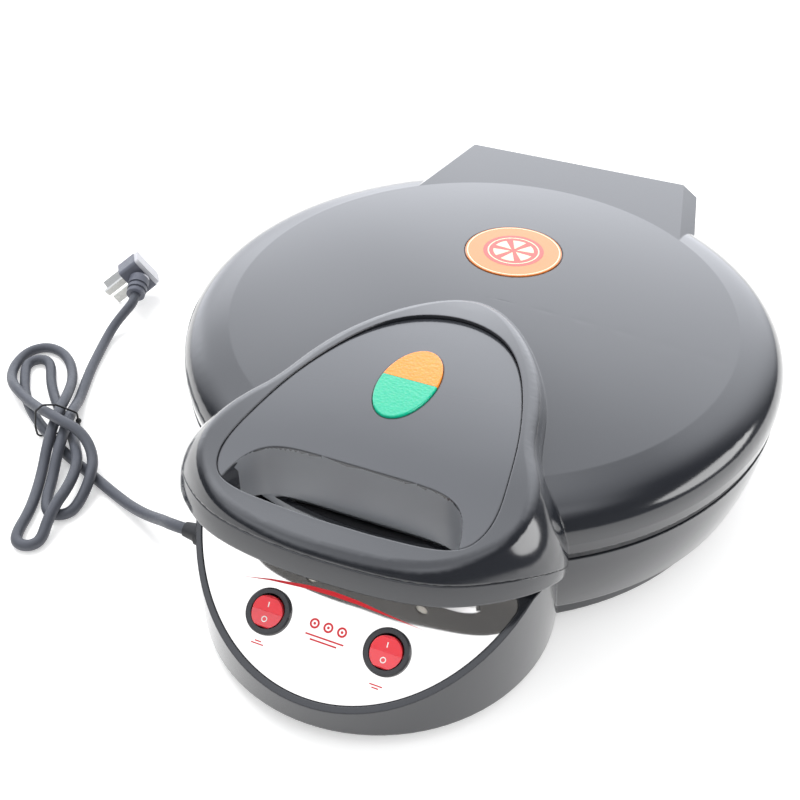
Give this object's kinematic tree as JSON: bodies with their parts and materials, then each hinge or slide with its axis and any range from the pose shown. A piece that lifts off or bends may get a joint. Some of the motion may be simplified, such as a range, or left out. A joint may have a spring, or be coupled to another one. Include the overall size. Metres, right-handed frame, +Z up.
{
  "type": "countertop pizza maker",
  "caption": "Round countertop cooker with a domed hinged lid on a floating hinge, raised grip handle, sloping control plate with rocker switches, and a tied cord.",
  "frame": {"origin": "on the floor at the middle foot, under the centre of the round base", "axes": "+Z up, -Y towards the front, where the handle and the control plate are, +X to the right"},
  "size_m": [0.4778, 0.418, 0.1123],
  "materials": {
    "black_casing": "gloss black moulding",
    "black_cover": "gloss black moulding",
    "dark_plastic": "matt dark grey moulding",
    "foot_rubber": "matt",
    "screw_steel": "bright zinc",
    "mirror_plate": "polished sheet",
    "bezel_plastic": "satin dark grey",
    "button_red": "translucent red",
    "baking_coat": "dark non-stick coat over cast aluminium",
    "element_steel": "dull tube",
    "sheet_steel": "plain sheet",
    "control_part": "pale ceramic-like",
    "brass_part": "plain",
    "hinge_steel": "stamped sheet",
    "amber_clear": "translucent amber, slightly domed",
    "green_clear": "translucent green, slightly domed",
    "lamp_clear": "clear bulb",
    "badge_print": "orange ring and red middle",
    "cord_jacket": "grey flexible jacket",
    "plug_plastic": "dark grey with a light cap",
    "tie_coat": "black coated wire"
  },
  "bodies": {
    "base": {"base_casing": "black_casing", "bottom_cover": "dark_plastic", "rubber_feet": "foot_rubber", "bottom_cover_screws": "screw_steel", "control_plate": "mirror_plate", "switch_body_left": "bezel_plastic", "switch_body_right": "bezel_plastic", "lower_baking_pan": "baking_coat", "lower_heating_element": "element_steel", "lower_heat_shield": "sheet_steel", "lower_shield_nuts": "screw_steel", "lower_thermostat": "control_part", "terminal_block": "control_part", "hinge_guides": "dark_plastic", "cord_gland": "dark_plastic", "power_cord_body_run": "cord_jacket", "power_cord_hank": "cord_jacket", "wire_tie": "tie_coat", "power_cord_plug_run": "cord_jacket", "plug_body": "plug_plastic", "plug_pins": "brass_part"},
    "left_button": {"switch_button_left": "button_red"},
    "right_button": {"switch_button_right": "button_red"},
    "carrier": {"hinge_carrier": "hinge_steel"},
    "lid": {"lid_casing": "black_casing", "lid_ring": "dark_plastic", "lid_ring_screws": "screw_steel", "handle_lower_shell": "black_casing", "handle_screws": "screw_steel", "handle_cover_panel": "black_cover", "amber_lens": "amber_clear", "green_lens": "green_clear", "lamp_holder": "dark_plastic", "neon_lamps": "lamp_clear", "badge_disc": "badge_print", "upper_baking_plate": "baking_coat", "upper_heating_element": "element_steel", "upper_heat_shield": "sheet_steel", "upper_shield_nuts": "screw_steel", "upper_thermostat": "control_part", "thermal_fuse": "brass_part", "hinge_bracket_left": "hinge_steel", "hinge_bracket_right": "hinge_steel", "hinge_bracket_screws": "screw_steel", "hinge_pins": "screw_steel", "hinge_clips": "screw_steel"}
  },
  "joints": [
    {"name": "carrier_slide", "type": "slide", "parent": "base", "child": "carrier", "axis": [0, 0, 1], "range_m": [0, 0.012]},
    {"name": "lid_hinge", "type": "hinge", "parent": "carrier", "child": "lid", "pos_m": [0, 0.173, 0.077], "axis": [-1, 0, 0], "range_deg": [0, 100]},
    {"name": "left_rocker", "type": "hinge", "parent": "base", "child": "left_button", "pos_m": [-0.0312, -0.20412, 0.03948], "axis": [-1, 0, 0], "range_deg": [0, 16]},
    {"name": "right_rocker", "type": "hinge", "parent": "base", "child": "right_button", "pos_m": [0.0312, -0.20412, 0.03948], "axis": [-1, 0, 0], "range_deg": [0, 16]}
  ]
}
